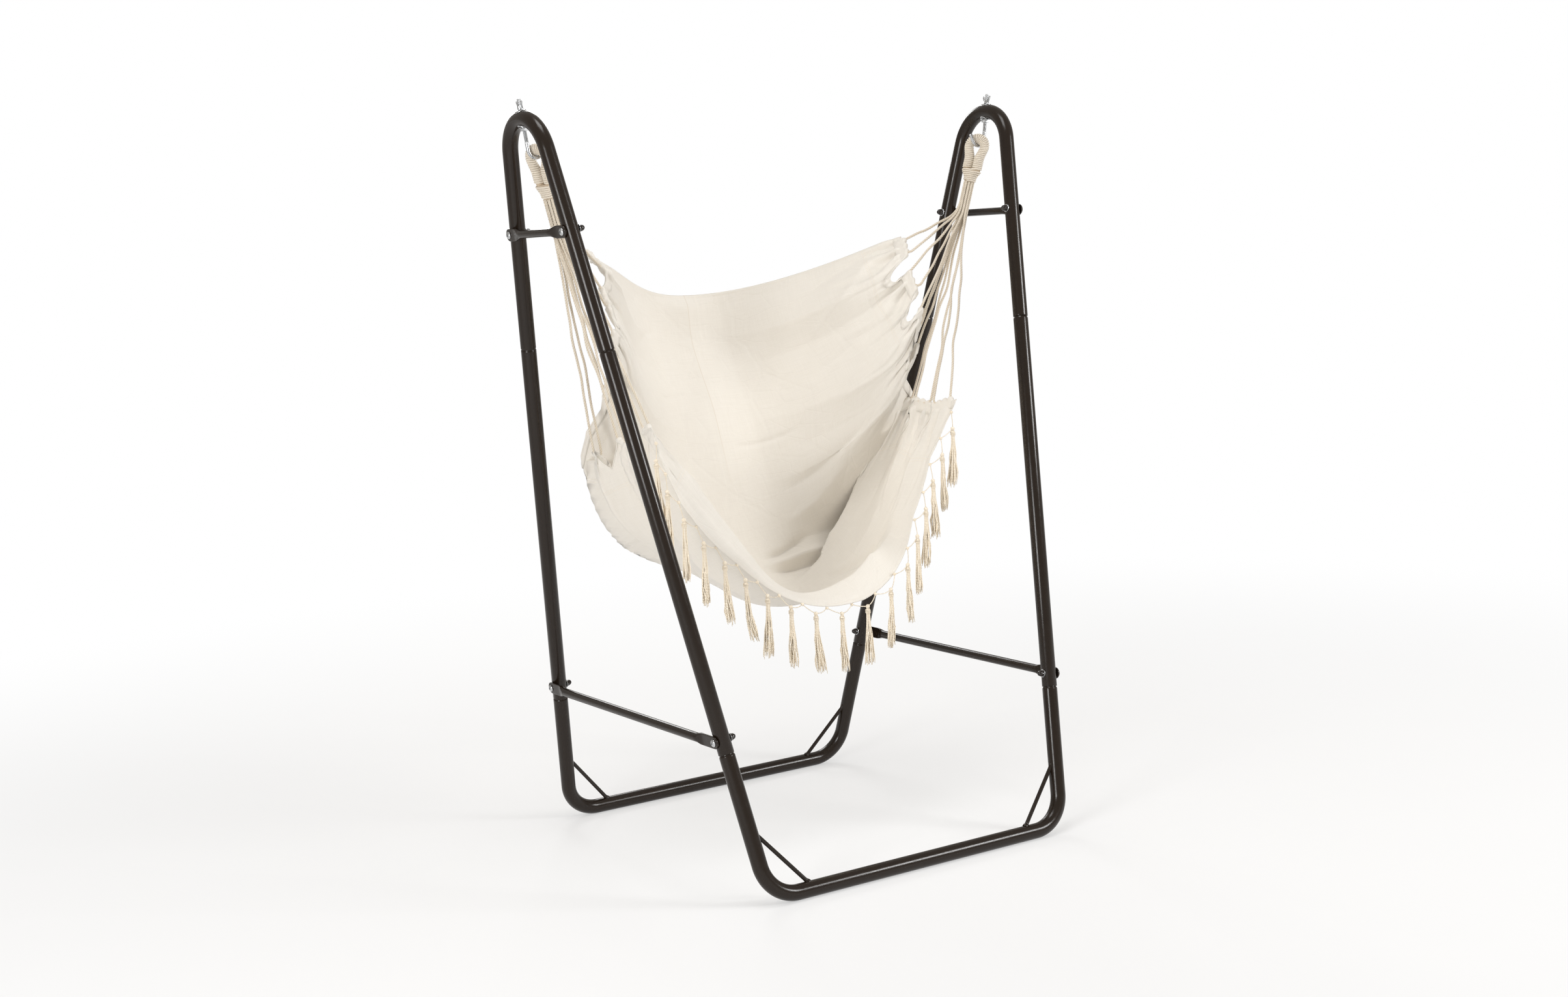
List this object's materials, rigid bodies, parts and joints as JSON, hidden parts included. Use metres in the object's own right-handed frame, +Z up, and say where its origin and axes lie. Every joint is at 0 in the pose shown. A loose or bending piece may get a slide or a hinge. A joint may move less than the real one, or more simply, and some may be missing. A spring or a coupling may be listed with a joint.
{
  "type": "hammock chair",
  "caption": "Hanging cotton bag seat with fringed front hem, roped at both sides to hooks at the tops of a two-arch steel tube stand.",
  "frame": {"origin": "on the floor under the middle of the stand", "axes": "+Z up, +X to the right seen from the open front of the seat, front towards -Y"},
  "size_m": [1.4098, 1.031, 1.8722],
  "materials": {
    "powder_coat": "satin dark brown powder coat",
    "zinc": "bright zinc plate",
    "dark_cap": "glossy black brown",
    "canvas": "off-white cotton canvas",
    "cotton": "natural cotton rope"
  },
  "bodies": {
    "stand": {"top_arch_left": "powder_coat", "upper_link_left": "powder_coat", "lower_spreader_left": "powder_coat", "leg_tube_front_left": "powder_coat", "corner_brace_front_left": "powder_coat", "bolt_upper_front_left": "zinc", "cap_nut_upper_front_left": "dark_cap", "bolt_lower_front_left": "zinc", "cap_nut_lower_front_left": "dark_cap", "leg_tube_back_left": "powder_coat", "corner_brace_back_left": "powder_coat", "bolt_upper_back_left": "zinc", "cap_nut_upper_back_left": "dark_cap", "bolt_lower_back_left": "zinc", "cap_nut_lower_back_left": "dark_cap", "hook_left": "zinc", "crown_saddle_left": "zinc", "crown_lock_nut_left": "zinc", "wing_nut_left": "zinc", "top_arch_right": "powder_coat", "upper_link_right": "powder_coat", "lower_spreader_right": "powder_coat", "leg_tube_front_right": "powder_coat", "corner_brace_front_right": "powder_coat", "bolt_upper_front_right": "zinc", "cap_nut_upper_front_right": "dark_cap", "bolt_lower_front_right": "zinc", "cap_nut_lower_front_right": "dark_cap", "leg_tube_back_right": "powder_coat", "corner_brace_back_right": "powder_coat", "bolt_upper_back_right": "zinc", "cap_nut_upper_back_right": "dark_cap", "bolt_lower_back_right": "zinc", "cap_nut_lower_back_right": "dark_cap", "hook_right": "zinc", "crown_saddle_right": "zinc", "crown_lock_nut_right": "zinc", "wing_nut_right": "zinc", "base_tube_front": "powder_coat", "base_tube_back": "powder_coat"},
    "hammock": {"rope_eye_left": "cotton", "eye_winding_left": "cotton", "seat_rope_left_1": "cotton", "seat_rope_left_2": "cotton", "seat_rope_left_3": "cotton", "seat_rope_left_4": "cotton", "seat_rope_left_5": "cotton", "seat_rope_left_6": "cotton", "seat_rope_left_7": "cotton", "rope_eye_right": "cotton", "eye_winding_right": "cotton", "seat_rope_right_1": "cotton", "seat_rope_right_2": "cotton", "seat_rope_right_3": "cotton", "seat_rope_right_4": "cotton", "seat_rope_right_5": "cotton", "seat_rope_right_6": "cotton", "seat_rope_right_7": "cotton", "seat_cloth": "canvas", "hem_fringe": "cotton"}
  },
  "joints": [
    {"name": "seat_swing", "type": "hinge", "parent": "stand", "child": "hammock", "pos_m": [0, 0, 1.73696], "axis": [1, 0, 0], "range_deg": [-25, 25]}
  ]
}
